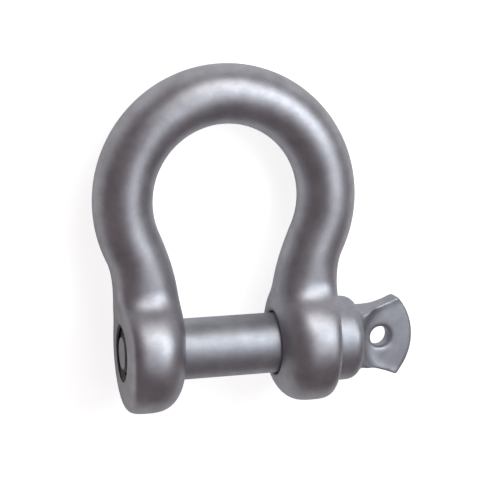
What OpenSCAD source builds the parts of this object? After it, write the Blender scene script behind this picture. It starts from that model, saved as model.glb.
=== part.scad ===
// Screw pin bow shackle of galvanised forged steel, lying on its side.
// The pin's axis is the X axis, the crown of the bow points to +Y and +Z is up.
// The origin is on the pin's axis, midway between the two eyes.

/* [Bow] */
// Diameter of the round bar of the bow
bow_d = 25; // [20:0.5:30]
// Clear width inside the bow at its widest
bow_w = 63.5; // [60:0.5:80]
// Clear length inside the bow, from the pin to the crown
bow_l = 82.5; // [72:0.5:110]
// Radius of the reverse bend that draws each leg in above its eye
leg_bend_r = 49.5; // [30:0.5:60]

/* [Eyes] */
// Clear width of the jaw, between the two eyes
jaw_w = 39.5; // [34:0.5:46]
// Diameter of each eye
eye_d = 52; // [46:0.5:60]
// Thickness of each eye along the pin
eye_t = 26; // [24:0.25:34]
// How far each eye stands into the jaw past the side of its leg
eye_step = 3.75; // [0:0.25:5]
// Shape of the eye's round on the jaw side: 2 is a full ellipse, 6 is nearly square
inner_shape = 2.75; // [2:0.05:6]
// Shape of the eye's round on the outer side
outer_shape = 3.4; // [2:0.05:6]
// How far the outer round would reach past the leg's side, had it not been faced flat
eye_dome = 1; // [0:0.25:3]
// Height above the pin up to which the eye keeps its full section
eye_hold = 7.5; // [0:0.5:12]
// Radius of the hollow neck between the round of the eye and its leg
neck_r = 11.5; // [6:0.5:30]
// Distance above the pin at which the leg is plain round bar again
neck_h = 44; // [30:0.5:50]
// Depth of the flat that the pin's collar bears on
seat_depth = 0.8; // [0.4:0.1:2]
// How far that flat reaches past the collar's rim
seat_rim = 1.5; // [0.5:0.25:2]
// Width of the chamfer at the plain hole's mouth on the jaw side
mouth_c = 2; // [0.4:0.1:3]
// Width of the countersink at the tapped hole's outer mouth
sink_c = 0.5; // [0.4:0.1:3]

/* [Pin] */
// Diameter of the pin's plain shank
pin_d = 26; // [20:0.5:30]
// Space all round between the shank and the plain eye
pin_gap = 0.6; // [0.3:0.05:1.5]
// Outside diameter of the pin's screw thread
thread_d = 24; // [18:0.5:25]
// Space all round between the thread and the tapped eye
thread_gap = 0.05; // [0.02:0.01:0.1]
// How far the pin's end stays inside the face of the tapped eye
end_recess = 0.25; // [0:0.25:4]
// Width of the chamfer on the pin's end
end_c = 5; // [1:0.25:6]
// Width of the small chamfers on the shank's shoulder and the collar's rim
edge_c = 0.5; // [0.2:0.1:1]
// How far the plain shank runs into the mouth of the tapped eye
shank_entry = 2.25; // [0.5:0.25:4]
// Diameter of the collar
collar_d = 37; // [30:0.5:44]
// Thickness of the collar
collar_t = 13; // [7:0.25:16]
// Radius of the collar's rounded shoulder
collar_r = 5; // [2:0.25:6]
// Space between the collar and its flat on the eye
seat_gap = 0.1; // [0.05:0.05:0.3]

/* [Paddle] */
// Length of the paddle from the collar to the top of its rounded end
paddle_l = 26.5; // [22:0.5:36]
// Width of the paddle where it leaves the collar
paddle_root_w = 24; // [22:0.5:30]
// Width of the paddle across its corners
paddle_w = 35.5; // [30:0.5:44]
// Radius of the paddle's rounded end
paddle_end_r = 25.5; // [20:0.5:40]
// Radius of the hollow sides of the paddle
paddle_side_r = 90; // [40:1:200]
// Thickness of the flat of the paddle
paddle_t = 8; // [5:0.5:12]
// Thickness of the paddle's root at the collar
root_t = 20; // [14:0.5:24]
// Length of the lip of even thickness at the paddle's end
lip_l = 4; // [2:0.5:8]
// Radius of the round flat that is pressed into each side
flat_r = 14.5; // [10:0.5:18]
// Distance from the collar to the near edge of that flat
flat_x = 6.5; // [5:0.5:9]
// Radius of the sweep from the flat up to the root
sweep_r = 6; // [3:0.5:8]
// Diameter of the eye hole in the paddle
hole_d = 9; // [6:0.5:14]
// Width of the chamfer round the eye hole
hole_c = 0.8; // [0.2:0.1:1.5]
// Distance from the collar to the centre of the eye hole
hole_x = 11.5; // [9:0.5:18]

/* [Hidden] */
$fn = 72;

// Zinc grey of the bow and of the pin
bow_colour = "#8c8e96";
pin_colour = "#a3a7b1";

// Half sizes, and the eye's reach to each side of its leg's centreline
bar_r = bow_d / 2;
eye_r = eye_d / 2;
eye_in = bar_r + eye_step;
eye_out = eye_t - eye_in;
dome_out = bar_r + eye_dome;
eye_x = jaw_w / 2 + eye_in;
eye_face = jaw_w / 2 + eye_t;

// Path of the bow: straight by the eye, a reverse bend, then the round crown
crown_r = bow_w / 2 + bar_r;
crown_y = bow_l + pin_d / 2 + bar_r - crown_r;
bend_y = crown_y - sqrt(pow(crown_r + leg_bend_r, 2) - pow(eye_x + leg_bend_r, 2));
bend_a = atan2(crown_y - bend_y, eye_x + leg_bend_r);
bend_end = bend_y + leg_bend_r * bend_a * PI / 180;
crown_end = bend_end + crown_r * (90 + bend_a) * PI / 180;

// Height at which the hollow neck meets the leg, and where it leaves the eye
neck_top = sqrt(pow(eye_r + neck_r, 2) - pow(bar_r + neck_r, 2));
neck_low = eye_r * neck_top / (eye_r + neck_r);

// The shackle lies with both eyes and the crown on the ground
lie_a = asin((eye_r - bar_r) / (crown_y + crown_r));

// Places along the pin
seat_x = eye_face - seat_depth;
collar_x = seat_x + seat_gap;
root_x = collar_x + collar_t;
tip_x = -eye_face + end_recess;
shank_x = -jaw_w / 2 - shank_entry;
bore_r = pin_d / 2 + pin_gap;
tap_r = thread_d / 2 + thread_gap;

// Divisions round the bar, and along each part of the bow
sides = 36;
eye_rings = 13;
neck_rings = 12;
bend_rings = 9;
crown_rings = 19;
past = 20;

// Eases from 0 to 1 between the eye and the plain leg
function ease(t) = let (c = min(max(t, 0), 1)) c * c * (3 - 2 * c);

// A power that keeps the sign of its base
function spow(x, p) = sign(x) * pow(abs(x), p);

// Place and lean of the centreline at a distance h along the right half
function path(h) =
    h <= bend_y ? [eye_x, h, 0] :
    h <= bend_end ?
        let (q = (h - bend_y) / leg_bend_r * 180 / PI)
        [eye_x + leg_bend_r * (1 - cos(q)), bend_y + leg_bend_r * sin(q), -q] :
        let (q = (h - bend_end) / crown_r * 180 / PI - bend_a)
        [crown_r * cos(q), crown_y + crown_r * sin(q), q];

// Half width of the section square to the bow: the eye's round, the neck, then the bar
function half_width(h) =
    h < neck_low ? sqrt(max(pow(eye_r, 2) - h * h, 0)) :
    h < neck_top ? bar_r + neck_r - sqrt(pow(neck_r, 2) - pow(h - neck_top, 2)) : bar_r;

// A size that the eye has and the plain leg has, blended by e between them
function fade(eye, leg, e) = eye * (1 - e) + leg * e;

// One point of the section at h, at the turn a round the bar. Below the pin the eye is round about
// the pin's axis, above it the section fades to the bar, and the outer side is faced flat.
function section_point(h, a) =
    let (
        outer = cos(a) > 0,
        e = ease((h - eye_hold) / (neck_h - eye_hold)),
        n = fade(outer ? outer_shape : inner_shape, 2, e),
        reach = fade(outer ? dome_out : eye_in, bar_r, e),
        face = outer ? fade(eye_out, bar_r, e) : reach,
        w = half_width(h) * spow(sin(a), 2 / n),
        edge = h < 0 ? norm([h, w]) / eye_r : abs(w) / half_width(h),
        x = sign(cos(a)) * min(reach * pow(max(1 - pow(edge, n), 0), 1 / n), face),
        c = path(h)
    )
    [c[0] + x * cos(c[2]), c[1] + x * sin(c[2]), w];

// Distances along the right half at which a section is drawn
stations = concat(
    [for (i = [1 : eye_rings]) -eye_r * cos(90 * i / eye_rings)],
    [for (i = [1 : neck_rings]) bend_y * i / neck_rings],
    [for (i = [1 : bend_rings]) bend_y + (bend_end - bend_y) * i / bend_rings],
    [for (i = [1 : crown_rings]) bend_end + (crown_end - bend_end) * i / crown_rings]
);

// Sections of the right half up to the crown, then their mirror down the left
right_half = [for (h = stations) [for (j = [0 : sides - 1]) section_point(h, 360 * (j + 0.5) / sides)]];
left_half = [
    for (i = [len(right_half) - 2 : -1 : 0])
        [for (p = right_half[i]) [-p[0], p[1], p[2]]]
];
rings = concat(right_half, left_half);

// Skin over a list of rings, closed by a point at each end
module loft(rings, first, last) {
    n = len(rings);
    k = len(rings[0]);
    points = concat([for (r = rings) each r], [first, last]);
    wall = [
        for (i = [0 : n - 2], j = [0 : k - 1])
            let (a = i * k + j, b = i * k + (j + 1) % k)
            each [[a, b, b + k], [a, b + k, a + k]]
    ];
    start = [for (j = [0 : k - 1]) [n * k, (j + 1) % k, j]];
    end = [for (j = [0 : k - 1]) [n * k + 1, (n - 1) * k + j, (n - 1) * k + (j + 1) % k]];
    polyhedron(points, concat(wall, start, end));
}

// Turns a shape made up the Z axis to lie along the pin, from x onwards
module along_pin(x) {
    translate([x, 0, 0]) rotate([0, 90, 0]) children();
}

// Lays the upright design down on the ground
module laid_down() {
    rotate([-lie_a, 0, 0]) children();
}

// Plain hole of the right eye, open at both faces, with its chamfer and the collar's flat
module plain_eye_cut() {
    along_pin(jaw_w / 2 - past) cylinder(r = bore_r, h = eye_t + 2 * past);
    along_pin(jaw_w / 2) cylinder(r1 = bore_r + mouth_c, r2 = bore_r, h = mouth_c);
    along_pin(seat_x) cylinder(r = collar_d / 2 + seat_rim, h = past);
}

// Tapped hole of the left eye, with the mouth that the shank's end runs into
module tapped_eye_cut() {
    along_pin(-eye_face - past) cylinder(r = tap_r, h = eye_t + 2 * past);
    along_pin(shank_x - pin_gap) cylinder(r = bore_r, h = past);
    along_pin(-eye_face - sink_c) cylinder(r1 = tap_r + 2 * sink_c, r2 = tap_r, h = 2 * sink_c);
}

// Forged bow: one bar swept from eye to eye, drilled and tapped
module shackle_bow() {
    color(bow_colour) laid_down() difference() {
        loft(rings, [eye_x, -eye_r, 0], [-eye_x, -eye_r, 0]);
        plain_eye_cut();
        tapped_eye_cut();
    }
}

// Half outline of the pin's shank and thread, turned about its axis
module shank_profile() {
    r = pin_d / 2;
    t = thread_d / 2;
    polygon([
        [0, tip_x],
        [t - end_c, tip_x],
        [t, tip_x + end_c],
        [t, shank_x],
        [r - edge_c, shank_x],
        [r, shank_x + edge_c],
        [r, collar_x + collar_t / 2],
        [0, collar_x + collar_t / 2]
    ]);
}

// Half outline of the collar, square to the eye and rounded to the paddle
module collar_profile() {
    translate([0, collar_x]) {
        square([collar_d / 2 - edge_c, collar_t - collar_r]);
        translate([0, edge_c]) square([collar_d / 2, collar_t - collar_r - edge_c]);
        square([collar_d / 2 - collar_r, collar_t]);
        translate([collar_d / 2 - collar_r, collar_t - collar_r]) circle(collar_r);
    }
}

// Outline of the paddle: a fan with hollow sides and a rounded end
module paddle_outline() {
    corner_x = paddle_l - paddle_end_r + sqrt(pow(paddle_end_r, 2) - pow(paddle_w / 2, 2));
    run = [corner_x, (paddle_w - paddle_root_w) / 2];
    half = norm(run) / 2;
    drop = sqrt(pow(paddle_side_r, 2) - half * half);
    side = [-run[1], run[0]] / norm(run) * drop + [0, paddle_root_w / 2] + run / 2;
    difference() {
        intersection() {
            translate([-collar_t / 2, -paddle_w]) square([paddle_l + collar_t, 2 * paddle_w]);
            translate([paddle_l - paddle_end_r, 0]) circle(paddle_end_r, $fn = 120);
        }
        for (m = [0, 1]) mirror([0, m]) translate(side) circle(paddle_side_r, $fn = 240);
    }
}

// Side view of the paddle blank, thinning from the root to the corners
module paddle_wedge() {
    rotate([90, 0, 0]) linear_extrude(2 * paddle_w, center = true) polygon([
        [-collar_t / 2, -root_t / 2],
        [0, -root_t / 2],
        [paddle_l - lip_l, -paddle_t / 2],
        [paddle_l + past, -paddle_t / 2],
        [paddle_l + past, paddle_t / 2],
        [paddle_l - lip_l, paddle_t / 2],
        [0, root_t / 2],
        [-collar_t / 2, root_t / 2]
    ]);
}

// Round die that presses the flat and sweeps up to the root
module flat_die() {
    translate([flat_x + flat_r, 0, paddle_t / 2]) rotate_extrude() {
        square([flat_r, past]);
        translate([0, sweep_r]) square([flat_r + sweep_r, past - sweep_r]);
        translate([flat_r, sweep_r]) circle(sweep_r);
    }
}

// Paddle of the pin, with its eye hole
module paddle() {
    translate([root_x, 0, 0]) difference() {
        intersection() {
            linear_extrude(root_t, center = true) paddle_outline();
            paddle_wedge();
        }
        flat_die();
        mirror([0, 0, 1]) flat_die();
        translate([hole_x, 0, -past]) cylinder(d = hole_d, h = 2 * past);
        for (m = [0, 1]) mirror([0, 0, m])
            translate([hole_x, 0, paddle_t / 2 - hole_c])
                cylinder(d1 = hole_d, d2 = hole_d + 4 * hole_c, h = 2 * hole_c);
    }
}

// Screw pin: thread, shank, collar and paddle forged and turned in one piece
module screw_pin() {
    color(pin_colour) laid_down() union() {
        along_pin(0) rotate_extrude() {
            shank_profile();
            collar_profile();
        }
        paddle();
    }
}

shackle_bow();
screw_pin();
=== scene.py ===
import math
import bmesh
import bpy
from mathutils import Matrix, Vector


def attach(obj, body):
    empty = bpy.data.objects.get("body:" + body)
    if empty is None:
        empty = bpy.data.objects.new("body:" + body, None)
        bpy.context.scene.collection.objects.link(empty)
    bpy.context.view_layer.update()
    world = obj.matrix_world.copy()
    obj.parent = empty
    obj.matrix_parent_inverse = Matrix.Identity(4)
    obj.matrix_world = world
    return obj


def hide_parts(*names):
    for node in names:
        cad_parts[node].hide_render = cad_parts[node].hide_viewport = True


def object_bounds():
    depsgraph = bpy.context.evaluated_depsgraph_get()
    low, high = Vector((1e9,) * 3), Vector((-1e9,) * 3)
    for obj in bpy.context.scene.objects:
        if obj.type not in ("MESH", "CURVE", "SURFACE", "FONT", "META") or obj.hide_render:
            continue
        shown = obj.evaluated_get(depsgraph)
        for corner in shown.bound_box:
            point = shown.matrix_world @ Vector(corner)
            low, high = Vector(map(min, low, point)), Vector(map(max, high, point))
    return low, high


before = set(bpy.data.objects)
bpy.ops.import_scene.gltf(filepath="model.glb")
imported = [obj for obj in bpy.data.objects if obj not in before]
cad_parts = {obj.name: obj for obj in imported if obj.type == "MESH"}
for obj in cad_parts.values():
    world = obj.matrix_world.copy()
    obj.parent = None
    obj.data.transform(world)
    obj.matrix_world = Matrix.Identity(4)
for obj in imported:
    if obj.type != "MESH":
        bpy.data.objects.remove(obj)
cad_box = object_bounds()


# The bow is one length of round steel bar with its ends forged out into rounded eyes, bent hot
# to an omega round a former. Both eyes are drilled and the whole forging is dipped in molten zinc.
# The left eye is tapped last, so its thread is bare steel.
mm = 0.001
bar_r = 12.5 * mm
eye_r = 26 * mm
eye_in = 16.25 * mm
eye_out = 9.75 * mm
dome_out = 13.5 * mm
eye_x = 36 * mm
jaw_face = eye_x - eye_in
outer_face = eye_x + eye_out
eye_hold = 7.5 * mm
neck_r = 11.5 * mm
neck_h = 44 * mm
leg_bend_r = 49.5 * mm
crown_r = 44.25 * mm
crown_y = 63.75 * mm
bend_y = crown_y - math.sqrt((crown_r + leg_bend_r) ** 2 - (eye_x + leg_bend_r) ** 2)
bend_a = math.atan2(crown_y - bend_y, eye_x + leg_bend_r)
lie_a = math.asin((eye_r - bar_r) / (crown_y + crown_r))

# Powers of the section's curve: 2 is a circle, and a higher one is squarer
circle_shape = 2
inner_shape = 2.75
outer_shape = 3.4

# The eye's flat outer face: the power of its soft edge, and where its plane clears the plain bar
face_edge = 6
flat_clear = 1.6 * bar_r

# How finely the bar is divided, and how close together its points are merged
bar_sides = 64
crown_steps = 44
bend_steps = 14
neck_steps = 22
foot_steps = 18
ring_gap = 0.01 * mm
ring_reach = 1.1 * bar_r
mirror_weld = 0.01 * mm
bow_weld = 0.005 * mm
sliver = 0.002 * mm
crisp_edge = math.radians(35)


def deselect_all():
    """Leaves object mode with nothing selected."""
    if bpy.context.mode != "OBJECT":
        bpy.ops.object.mode_set(mode="OBJECT")
    bpy.ops.object.select_all(action="DESELECT")


def work_on(piece):
    """Makes one piece the only selected and active one."""
    deselect_all()
    piece.select_set(True)
    bpy.context.view_layer.objects.active = piece


def finish_modifier(piece, kind, **settings):
    """Adds one modifier to a piece, sets it and applies it."""
    work_on(piece)
    modifier = piece.modifiers.new(kind.lower(), kind)
    for name, value in settings.items():
        setattr(modifier, name, value)
    bpy.ops.object.modifier_apply(modifier=modifier.name)


def close_up(weld=0.002 * mm):
    """Merges doubled points of the piece in edit mode, turns its faces outwards, leaves edit mode."""
    bpy.ops.mesh.select_all(action="SELECT")
    bpy.ops.mesh.remove_doubles(threshold=weld)
    bpy.ops.mesh.normals_make_consistent(inside=False)
    bpy.ops.object.mode_set(mode="OBJECT")


def lay_down(piece):
    """Tips a finished piece with the shackle on to its side, and shades its round faces smooth."""
    work_on(piece)
    piece.rotation_euler = (-lie_a, 0, 0)
    bpy.ops.object.transform_apply()
    bpy.ops.object.shade_smooth_by_angle(angle=crisp_edge)


def half_width(h):
    """Half the bar's width at h along the leg: the eye's round, the hollow neck, then the bar."""
    top = math.sqrt((eye_r + neck_r) ** 2 - (bar_r + neck_r) ** 2)
    if h < eye_r * top / (eye_r + neck_r):
        return math.sqrt(max(eye_r ** 2 - h * h, 0))
    if h < top:
        return bar_r + neck_r - math.sqrt(neck_r ** 2 - (h - top) ** 2)
    return bar_r


def fade(eye, leg, share):
    """A size that the eye has and the plain leg has, blended by a share between them."""
    return eye + (leg - eye) * share


def forged_point(h, turn, outside):
    """Where the bar's point at a turn round its section lies once the section at h is forged.

    Below the pin the eye is round about the pin's axis. Above it the section fades to the plain
    bar. The outer side is faced flat, with its edge softened by the dip.
    """
    t = min(max((h - eye_hold) / (neck_h - eye_hold), 0), 1)
    share = t * t * (3 - 2 * t)
    shape = fade(outer_shape if outside else inner_shape, circle_shape, share)
    reach = fade(dome_out if outside else eye_in, bar_r, share)
    up = half_width(h) * math.sin(turn) ** (circle_shape / shape)
    rim = math.hypot(h, up) / eye_r if h < 0 else up / half_width(h)
    across = reach * max(1 - rim ** shape, 0) ** (1 / shape)
    if outside and across > 0:
        flat = fade(eye_out, flat_clear, share)
        across = (across ** -face_edge + flat ** -face_edge) ** (-1 / face_edge)
    return across, up


def forge_ring(bar, h, centre, lean):
    """Squeezes the ring of the plain bar at h along the leg to the section it has after forging."""
    side = Vector((math.cos(lean), -math.sin(lean), 0))
    along = Vector((math.sin(lean), math.cos(lean), 0))
    least = 0.001
    mesh = bmesh.from_edit_mesh(bar.data)
    groups = {}
    for v in mesh.verts:
        away = v.co - centre
        if abs(away.dot(along)) < ring_gap and away.length < ring_reach:
            across, up = away.dot(side), abs(v.co.z)
            turn = round(math.degrees(math.atan2(up, abs(across))), 2)
            groups.setdefault((turn, across > 0), []).append(v)
    for (turn, outside), ring in groups.items():
        turn = math.radians(turn)
        across, up = forged_point(h, turn, outside)
        width = across / (bar_r * max(math.cos(turn), least))
        height = up / (bar_r * max(math.sin(turn), least))
        bpy.ops.mesh.select_all(action="DESELECT")
        for v in ring:
            v.select_set(True)
        bpy.ops.transform.resize(
            value=(width, 1, height),
            orient_type="LOCAL",
            orient_matrix=(side, along, (0, 0, 1)),
            orient_matrix_type="LOCAL",
            center_override=centre,
        )


# The plain bar of the right half, from the crown down through the reverse bend to the foot
deselect_all()
bpy.ops.mesh.primitive_circle_add(
    vertices=bar_sides, radius=bar_r, location=(0, crown_y + crown_r, 0), rotation=(0, math.pi / 2, 0)
)
bow = bpy.context.object
bow.name = "forged_bow"
bpy.ops.object.transform_apply()
bpy.ops.object.mode_set(mode="EDIT")
bpy.ops.mesh.select_all(action="SELECT")
bpy.ops.mesh.spin(
    steps=crown_steps, angle=math.pi / 2 + bend_a, center=(0, crown_y, 0), axis=(0, 0, 1)
)
bpy.ops.mesh.spin(
    steps=bend_steps, angle=bend_a, center=(eye_x + leg_bend_r, bend_y, 0), axis=(0, 0, -1)
)
leg_stations = [bend_y * (1 - (i + 1) / neck_steps) for i in range(neck_steps)]
foot_stations = [-eye_r * math.sin(math.pi / 2 * (i + 1) / foot_steps) for i in range(foot_steps)]
h = bend_y
for station in leg_stations + foot_stations:
    bpy.ops.mesh.extrude_region_move(TRANSFORM_OT_translate={"value": (0, station - h, 0)})
    h = station
bpy.ops.mesh.merge(type="CENTER")

# The forging: every ring from the foot to the plain bar is squeezed to its section
for i in range(1, bend_steps):
    lean = bend_a * i / bend_steps
    h = bend_y + leg_bend_r * lean
    if h < neck_h:
        reach = leg_bend_r * (1 - math.cos(lean))
        forge_ring(bow, h, Vector((eye_x + reach, bend_y + leg_bend_r * math.sin(lean), 0)), lean)
for h in [bend_y] + leg_stations + foot_stations[:-1]:
    forge_ring(bow, h, Vector((eye_x, h, 0)), 0)
bpy.ops.object.mode_set(mode="OBJECT")
finish_modifier(bow, "MIRROR", use_axis=(True, False, False), merge_threshold=mirror_weld)
work_on(bow)
bpy.ops.object.mode_set(mode="EDIT")
close_up(bow_weld)


def turned(name, outline, sides=96):
    """A solid of revolution along the X axis, drawn out from a disc through (x, radius) pairs."""
    deselect_all()
    x, r = outline[0]
    bpy.ops.mesh.primitive_circle_add(
        vertices=sides, radius=r, fill_type="NGON", location=(x, 0, 0), rotation=(0, math.pi / 2, 0)
    )
    piece = bpy.context.object
    piece.name = name
    bpy.ops.object.transform_apply()
    bpy.ops.object.mode_set(mode="EDIT")
    bpy.ops.mesh.select_all(action="SELECT")
    for next_x, next_r in outline[1:]:
        bpy.ops.mesh.extrude_region_move(TRANSFORM_OT_translate={"value": (next_x - x, 0, 0)})
        bpy.ops.transform.resize(value=(1, next_r / r, next_r / r), center_override=(next_x, 0, 0))
        x, r = next_x, next_r
    close_up()
    return piece


def merge_solid(piece, tool, operation):
    """Cuts, joins or crops a piece with a second solid, and clears that solid away."""
    finish_modifier(piece, "BOOLEAN", object=tool, operation=operation, solver="EXACT")
    bpy.data.objects.remove(tool)


# The plain hole of the right eye: a rounded mouth on the jaw side and a flat for the pin's collar
bore_r = 13.6 * mm
mouth_r = 2.2 * mm
mouth_x = jaw_face + 2.8 * mm
mouth_flare = 12.3 * mm
overrun = 2 * mm
seat_x = 44.95 * mm
seat_r = 20 * mm
seat_cut = 15 * mm
mouth = []
for degrees in range(75, -1, -15):
    t = math.radians(degrees)
    mouth.append((mouth_x - mouth_r * math.sin(t), bore_r + mouth_r * (1 - math.cos(t))))
plain_hole = turned("plain_hole", [
    (jaw_face - overrun, bore_r + mouth_flare), *mouth,
    (seat_x, bore_r), (seat_x, seat_r), (seat_x + seat_cut, seat_r),
])
merge_solid(bow, plain_hole, "DIFFERENCE")

# The screw thread that the left eye and the pin share
thread_r = 12 * mm
pitch = 3 * mm
thread_depth = 1.84 * mm
thread_start = -57 * mm
thread_turns = 15
thread_steps = 72
thread_weld = 0.01 * mm
trim_turns = 1.5
trim_gap = 0.001 * mm


def threaded_rod(name, slack):
    """A screw thread along the X axis, made by winding one tooth's outline round it.

    The outline is in shares of the pitch. The loose turns at both ends are trimmed off.
    """
    crest = thread_r + slack
    root = crest - thread_depth
    root_end, crest_start, crest_end = 0.25, 0.5625, 0.6875
    tooth = ((0, root), (root_end, root), (crest_start, crest), (crest_end, crest), (1, root))
    deselect_all()
    bpy.ops.mesh.primitive_plane_add(size=1 * mm)
    rod = bpy.context.object
    rod.name = name
    bpy.ops.object.mode_set(mode="EDIT")
    bpy.ops.mesh.select_all(action="SELECT")
    bpy.ops.mesh.merge(type="CENTER")
    x, z = 0, 0
    for share, next_z in tooth:
        move = (thread_start + share * pitch - x, 0, next_z - z)
        if (x, z) == (0, 0):
            bpy.ops.transform.translate(value=move)
        else:
            bpy.ops.mesh.extrude_vertices_move(TRANSFORM_OT_translate={"value": move})
        x, z = thread_start + share * pitch, next_z
    bpy.ops.object.mode_set(mode="OBJECT")
    finish_modifier(
        rod, "SCREW", axis="X", angle=2 * math.pi, screw_offset=pitch, iterations=thread_turns,
        steps=thread_steps, render_steps=thread_steps, use_merge_vertices=False, use_smooth_shade=False,
    )
    bpy.ops.object.mode_set(mode="EDIT")
    bpy.ops.mesh.select_all(action="SELECT")
    bpy.ops.mesh.remove_doubles(threshold=thread_weld)
    first_x = thread_start + trim_turns * pitch
    last_x = thread_start + (thread_turns - trim_turns) * pitch
    for x, outwards in ((first_x, -1), (last_x, 1)):
        bpy.ops.mesh.select_all(action="SELECT")
        bpy.ops.mesh.bisect(
            plane_co=(x, 0, 0), plane_no=(outwards, 0, 0), use_fill=True, clear_outer=True,
            threshold=trim_gap,
        )
    close_up()
    return rod


# The hole of the left eye: countersunk outside, tapped, and opened out on the jaw side for the shank
shank_x = -22 * mm
shank_room = 0.6 * mm
sink = 0.5 * mm
sink_over = 4 * mm
sink_under = 2.5 * mm
tap_slack = 0.12 * mm
tap_run_out = 0.4 * mm
tap_stop_r = 20 * mm
shank_hole = turned("shank_hole", [
    (shank_x - shank_room, bore_r), *[(-x, r) for x, r in reversed(mouth)],
    (-jaw_face + overrun, bore_r + mouth_flare),
])
merge_solid(bow, shank_hole, "DIFFERENCE")
countersink = turned("countersink", [
    (-outer_face - sink_over, thread_r + sink + sink_over),
    (-outer_face + sink + sink_under, thread_r - sink_under),
])
merge_solid(bow, countersink, "DIFFERENCE")
tap = threaded_rod("tap", tap_slack)
tap_length = turned("tap_length", [
    (-outer_face - overrun, tap_stop_r), (shank_x + tap_run_out, tap_stop_r),
])
merge_solid(tap, tap_length, "INTERSECT")
merge_solid(bow, tap, "DIFFERENCE")

# The cuts leave slivers along their edges, which are dissolved before the bow is laid on its side
work_on(bow)
bpy.ops.object.mode_set(mode="EDIT")
bpy.ops.mesh.select_all(action="SELECT")
bpy.ops.mesh.dissolve_degenerate(threshold=sliver)
bpy.ops.object.mode_set(mode="OBJECT")
lay_down(bow)


def linear(hex_colour):
    """An sRGB hex colour as the linear RGBA that a shader takes."""
    channels = [int(hex_colour[i:i + 2], 16) / 255 for i in (1, 3, 5)]
    return [c / 12.92 if c <= 0.04045 else ((c + 0.055) / 1.055) ** 2.4 for c in channels] + [1.0]


def add_node(tree, kind, settings, inputs):
    """Adds a node to a tree with its settings, and a value or a link for each named input."""
    node = tree.nodes.new(kind)
    for name, value in settings.items():
        setattr(node, name, value)
    for name, value in inputs.items():
        if isinstance(value, bpy.types.NodeSocket):
            tree.links.new(value, node.inputs[name])
        else:
            node.inputs[name].default_value = value
    return node


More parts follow.
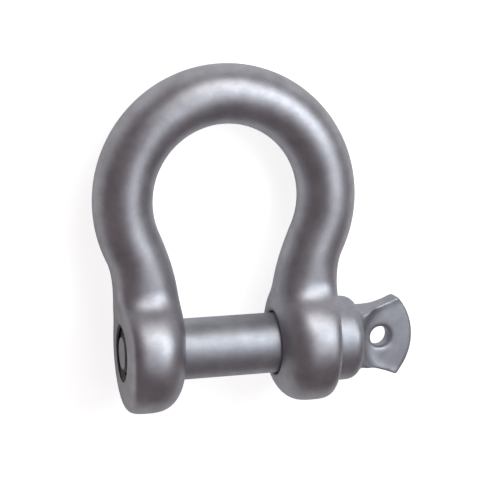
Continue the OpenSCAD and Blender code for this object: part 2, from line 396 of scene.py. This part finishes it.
def zinc_coat(name, shades, rough, patch, grain, forged, bare):
    """A zinc coat on steel: cloudy patches of the given shades, with grain in its gloss and relief.

    Convex edges are rubbed brighter, and hollows are darkened with painted shade. The thread
    between the two places in bare has no coat: it is steel, dark with oil. The grain is drawn
    coarser than a real coat's, so that it shows.
    """
    # The second of these colours is painted shade for the hollows; the first is edge wear, the third the
    # bare thread
    rubbed_zinc, hollow_shade_colour, oiled_steel = linear("#d9dade"), linear("#6f6a68"), linear("#625d5b")
    thread_reach = thread_r + 0.3 * mm
    wave_h = 0.12 * mm
    grain_h = 0.03 * mm
    material = bpy.data.materials.new(name)
    material.use_nodes = True
    tree = material.node_tree
    shader = tree.nodes["Principled BSDF"]
    shader.inputs["Metallic"].default_value = 1
    place = add_node(tree, "ShaderNodeTexCoord", {}, {}).outputs["Object"]
    clouds = add_node(tree, "ShaderNodeTexNoise", {}, {
        "Vector": place, "Scale": 1 / patch, "Detail": 4, "Roughness": 0.6,
    })
    ramp = add_node(tree, "ShaderNodeValToRGB", {}, {"Fac": clouds.outputs["Fac"]})
    stops = ramp.color_ramp.elements
    stops[0].position, stops[1].position = 0.32, 0.68
    stops[0].color, stops[1].color = linear(shades[0]), linear(shades[1])
    shape = add_node(tree, "ShaderNodeNewGeometry", {}, {}).outputs["Pointiness"]
    rubbed = add_node(tree, "ShaderNodeMapRange", {}, {
        "Value": shape, "From Min": 0.55, "From Max": 0.65, "To Max": 0.5,
    })
    bright = add_node(tree, "ShaderNodeMix", {"data_type": "RGBA"}, {
        0: rubbed.outputs["Result"], 6: ramp.outputs["Color"], 7: rubbed_zinc,
    })
    # Painted shade: the colour is darkened towards a dark grey where the surface is hollow
    hollow_shade_mask = add_node(tree, "ShaderNodeMapRange", {}, {
        "Value": shape, "From Min": 0.47, "From Max": 0.38, "To Max": 0.6,
    })
    hollow_shaded = add_node(tree, "ShaderNodeMix", {"data_type": "RGBA"}, {
        0: hollow_shade_mask.outputs["Result"], 6: bright.outputs[2], 7: hollow_shade_colour,
    })
    along = add_node(tree, "ShaderNodeSeparateXYZ", {}, {"Vector": place}).outputs["X"]
    across = add_node(tree, "ShaderNodeVectorMath", {"operation": "MULTIPLY"}, {0: place, 1: (0, 1, 1)})
    radius = add_node(tree, "ShaderNodeVectorMath", {"operation": "LENGTH"}, {0: across.outputs["Vector"]})
    inside = add_node(tree, "ShaderNodeMath", {"operation": "LESS_THAN"}, {
        0: radius.outputs["Value"], 1: thread_reach,
    })
    after = add_node(tree, "ShaderNodeMath", {"operation": "GREATER_THAN"}, {0: along, 1: bare[0]})
    before = add_node(tree, "ShaderNodeMath", {"operation": "LESS_THAN"}, {0: along, 1: bare[1]})
    between = add_node(tree, "ShaderNodeMath", {"operation": "MULTIPLY"}, {
        0: after.outputs["Value"], 1: before.outputs["Value"],
    })
    thread = add_node(tree, "ShaderNodeMath", {"operation": "MULTIPLY"}, {
        0: inside.outputs["Value"], 1: between.outputs["Value"],
    })
    oiled = add_node(tree, "ShaderNodeMix", {"data_type": "RGBA"}, {
        0: thread.outputs["Value"], 6: hollow_shaded.outputs[2], 7: oiled_steel,
    })
    tree.links.new(oiled.outputs[2], shader.inputs["Base Color"])
    fine = add_node(tree, "ShaderNodeTexNoise", {}, {
        "Vector": place, "Scale": 1 / grain, "Detail": 2, "Roughness": 0.6,
    })
    gloss = add_node(tree, "ShaderNodeMapRange", {}, {
        "Value": fine.outputs["Fac"], "From Min": 0.3, "From Max": 0.7,
        "To Min": rough[0], "To Max": rough[1],
    })
    tree.links.new(gloss.outputs["Result"], shader.inputs["Roughness"])
    swell = add_node(tree, "ShaderNodeTexNoise", {}, {
        "Vector": place, "Scale": 1 / forged, "Detail": 1, "Roughness": 0.4,
    })
    waves = add_node(tree, "ShaderNodeBump", {}, {
        "Height": swell.outputs["Fac"], "Strength": 0.5, "Distance": wave_h,
    })
    relief = add_node(tree, "ShaderNodeBump", {}, {
        "Height": fine.outputs["Fac"], "Strength": 0.3, "Distance": grain_h,
        "Normal": waves.outputs["Normal"],
    })
    tree.links.new(relief.outputs["Normal"], shader.inputs["Normal"])
    return material


# Hot-dip galvanised steel: the zinc sets in cloudy satin-grey patches over the forging's slight waves
bow.data.materials.append(zinc_coat(
    "hot_dip_zinc", shades=("#afadb2", "#c6c5ca"), rough=(0.42, 0.5),
    patch=9 * mm, grain=0.9 * mm, forged=14 * mm, bare=(-50 * mm, shank_x),
))
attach(bow, "bow")
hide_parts("shackle_bow")


# The screw pin is forged in one piece and then turned: a threaded end that screws into the left
# eye, a plain shank across the jaw, a collar that bears on the right eye, and a flat paddle with
# an eye hole for turning it. It is plated with zinc, a little bluer and more matt than the bow.
tip_x = -45.5 * mm
tip_r = 7 * mm
shank_r = 13 * mm
shank_edge = 0.5 * mm
collar_x = 45.05 * mm
collar_r = 18.5 * mm
collar_edge = 0.5 * mm
shoulder_r = 5 * mm
root_x = 58.05 * mm
paddle_l = 26.5 * mm
paddle_w = 35.5 * mm
paddle_root_w = 24 * mm
paddle_end_r = 25.5 * mm
paddle_side_r = 90 * mm
paddle_t = 8 * mm
root_t = 20 * mm
lip_l = 4 * mm
lip_x = root_x + paddle_l - lip_l
flat_r = 14.5 * mm
flat_x = 6.5 * mm
sweep_r = 6 * mm
hole_r = 4.5 * mm
hole_x = 11.5 * mm
hole_edge = 0.8 * mm


def pick(piece, wanted):
    """In edit mode, selects the vertices that pass a test on their place, and nothing else."""
    mesh = bmesh.from_edit_mesh(piece.data)
    for v in mesh.verts:
        v.select_set(bool(wanted(v.co)))
    mesh.select_flush_mode()
    bmesh.update_edit_mesh(piece.data)


def stand_up(piece, x, y):
    """Turns a solid made along the X axis to stand on the Z axis at x, y."""
    work_on(piece)
    piece.rotation_euler = (0, -math.pi / 2, 0)
    piece.location = (x, y, 0)
    bpy.ops.object.transform_apply()


# The paddle starts as a block, drawn down to a wedge that ends in a lip of even thickness
block_extra = 8 * mm
block_back = 3 * mm
pick_gap = 1 * mm
deselect_all()
bpy.ops.mesh.primitive_cube_add(size=1, location=(root_x + paddle_l / 2 - block_back, 0, 0))
pin = bpy.context.object
pin.name = "screw_pin_forging"
pin.scale = (paddle_l + block_extra, 2 * paddle_w, root_t)
bpy.ops.object.transform_apply()
bpy.ops.object.mode_set(mode="EDIT")
for x in (root_x, lip_x):
    bpy.ops.mesh.select_all(action="SELECT")
    bpy.ops.mesh.bisect(plane_co=(x, 0, 0), plane_no=(1, 0, 0))
pick(pin, lambda co: co.x > lip_x - pick_gap)
bpy.ops.transform.resize(value=(1, 1, paddle_t / root_t), center_override=(0, 0, 0))
close_up()

# Its fan outline: a rounded end and two hollow sides
cutter_reach = 20 * mm
end_facets = 192
side_facets = 480
fan_end = turned("fan_end", [(-cutter_reach, paddle_end_r), (cutter_reach, paddle_end_r)], end_facets)
stand_up(fan_end, root_x + paddle_l - paddle_end_r, 0)
merge_solid(pin, fan_end, "INTERSECT")
corner_x = paddle_l - paddle_end_r + math.sqrt(paddle_end_r ** 2 - (paddle_w / 2) ** 2)
flare = (paddle_w - paddle_root_w) / 2
side_l = math.hypot(corner_x, flare)
drop = math.sqrt(paddle_side_r ** 2 - (side_l / 2) ** 2)
side_x = root_x + corner_x / 2 - flare / side_l * drop
side_y = paddle_root_w / 2 + flare / 2 + corner_x / side_l * drop
for y in (side_y, -side_y):
    hollow_side = turned("hollow_side", [
        (-cutter_reach, paddle_side_r), (cutter_reach, paddle_side_r),
    ], side_facets)
    stand_up(hollow_side, side_x, y)
    merge_solid(pin, hollow_side, "DIFFERENCE")

# The round flat pressed into each side, sweeping up to the root, and the eye hole
die_facets = 128
drill_reach = 12 * mm
sweep = []
for degrees in range(0, 91, 10):
    t = math.radians(degrees)
    sweep.append((paddle_t / 2 + sweep_r * (1 - math.cos(t)), flat_r + sweep_r * math.sin(t)))
sweep.append((cutter_reach, flat_r + sweep_r))
for face in (1, -1):
    die = turned("flat_die", [(face * z, r) for z, r in sweep], die_facets)
    stand_up(die, root_x + flat_x + flat_r, 0)
    merge_solid(pin, die, "DIFFERENCE")
drill_r = hole_r + hole_edge + drill_reach - paddle_t / 2
drill = turned("drill", [
    (-drill_reach, drill_r), (hole_edge - paddle_t / 2, hole_r),
    (paddle_t / 2 - hole_edge, hole_r), (drill_reach, drill_r),
])
stand_up(drill, root_x + hole_x, 0)
merge_solid(pin, drill, "DIFFERENCE")

# The collar with its rounded shoulder, grown together with the paddle and softened as a forging is
forging_cell = 0.35 * mm
soften_steps = 90
shoulder = []
for degrees in range(0, 91, 10):
    t = math.radians(degrees)
    shoulder.append((
        root_x - shoulder_r * (1 - math.sin(t)), collar_r - shoulder_r * (1 - math.cos(t)),
    ))
collar = turned("collar", [
    (collar_x, collar_r - collar_edge), (collar_x + collar_edge, collar_r), *shoulder,
])
merge_solid(pin, collar, "UNION")
finish_modifier(pin, "REMESH", mode="VOXEL", voxel_size=forging_cell, adaptivity=0)
finish_modifier(pin, "SMOOTH", factor=0.5, iterations=soften_steps)

# The turned shank and the threaded end, chamfered to lead into the tapped eye
shank_root = 3 * mm
lead_l = 5 * mm
lead_r = thread_r + 0.1 * mm
lead_over = 2 * mm
tip_edge_l = 0.4 * mm
tip_edge_r = 0.5 * mm
shank = turned("shank", [
    (shank_x, shank_r - shank_edge), (shank_x + shank_edge, shank_r), (collar_x + shank_root, shank_r),
])
screw = threaded_rod("screw", 0)
lead = turned("thread_lead", [
    (tip_x, tip_r - tip_edge_r), (tip_x + tip_edge_l, tip_r), (tip_x + lead_l, lead_r),
    (shank_x + lead_over, lead_r),
])
merge_solid(screw, lead, "INTERSECT")
merge_solid(shank, screw, "UNION")
merge_solid(pin, shank, "UNION")
lay_down(pin)
pin.data.materials.clear()

# Zinc electroplate on turned and forged steel: finer, more even and bluer than the dipped coat
pin.data.materials.append(zinc_coat(
    "zinc_plate", shades=("#b0b1b7", "#c4c5cb"), rough=(0.47, 0.55),
    patch=7 * mm, grain=0.7 * mm, forged=12 * mm, bare=(tip_x + 0.2 * mm, shank_x),
))
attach(pin, "pin")
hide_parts("screw_pin")


# The shackle lies on its side on a wide sheet of plain white paper, which carries its soft shadow.
# A round soft box at the upper right is the main light. A warmer one past the crown and a faint
# one overhead help it, in a dim grey room.
sheet_size = 60
deselect_all()
bpy.ops.mesh.primitive_plane_add(size=sheet_size, location=(0, 0, cad_box[0][2]))
floor = bpy.context.object
floor.name = "paper_sheet"

# White paper: matt, and bright to the camera at a plain level of light. The metal mirrors less of it.
seen_glow = 0.8
mirrored_glow = 0.2
paper = bpy.data.materials.new("white_paper")
paper.use_nodes = True
tree = paper.node_tree
for node in list(tree.nodes):
    tree.nodes.remove(node)
ray = add_node(tree, "ShaderNodeLightPath", {}, {})
mirrored = add_node(tree, "ShaderNodeMath", {"operation": "MAXIMUM"}, {
    0: ray.outputs["Is Glossy Ray"], 1: ray.outputs["Is Transmission Ray"],
})
dimmed = add_node(tree, "ShaderNodeMath", {"operation": "MULTIPLY"}, {
    0: mirrored.outputs["Value"], 1: mirrored_glow,
})
level = add_node(tree, "ShaderNodeMath", {"operation": "MULTIPLY_ADD"}, {
    0: ray.outputs["Is Camera Ray"], 1: seen_glow, 2: dimmed.outputs["Value"],
})
glow = add_node(tree, "ShaderNodeEmission", {}, {"Strength": level.outputs["Value"]})
matt = add_node(tree, "ShaderNodeBsdfDiffuse", {}, {"Color": linear("#e6e6e6")})
both = add_node(tree, "ShaderNodeAddShader", {}, {0: glow.outputs["Emission"], 1: matt.outputs["BSDF"]})
add_node(tree, "ShaderNodeOutputMaterial", {}, {"Surface": both.outputs["Shader"]})
floor.data.materials.append(paper)

# The middle of the shackle, which the lamps face
middle = Vector((0.014, 0.047, 0))


def soft_box(name, towards, distance, size, power, tint):
    """A round soft box at a distance from the shackle, facing it."""
    towards = Vector(towards).normalized()
    bpy.ops.object.light_add(type="AREA", location=middle + towards * distance)
    lamp = bpy.context.object
    lamp.name = name
    lamp.data.shape = "DISK"
    lamp.data.size = size
    lamp.data.color = linear(tint)[:3]
    lamp.data.energy = power
    lamp.rotation_euler = towards.to_track_quat("Z", "Y").to_euler()


soft_box("key_light", towards=(0.5, 0.4, 0.77), distance=0.7, size=0.44, power=1.75, tint="#effaff")
soft_box("crown_light", towards=(0.16, 0.76, 0.63), distance=0.7, size=0.38, power=1.2, tint="#f6f8f8")
soft_box("top_panel", towards=(0.3, 0.0, 0.95), distance=0.8, size=0.5, power=0.45, tint="#eef4ff")
world = bpy.data.worlds.new("grey_room")
world.use_nodes = True
world.node_tree.nodes["Background"].inputs["Color"].default_value = linear("#716769")
bpy.context.scene.world = world

# The camera stands where the photograph was taken from, found by fitting the outline
camera_place = (-0.14242, 0.21319, 0.49953)
camera_turn = (-18.249, -15.713, 2.143)
bpy.ops.object.camera_add(location=camera_place, rotation=[math.radians(a) for a in camera_turn])
camera = bpy.context.object
camera.data.lens = 97.75
camera.data.sensor_width = 36
bpy.context.scene.camera = camera
bpy.context.scene.view_settings.view_transform = "Standard"
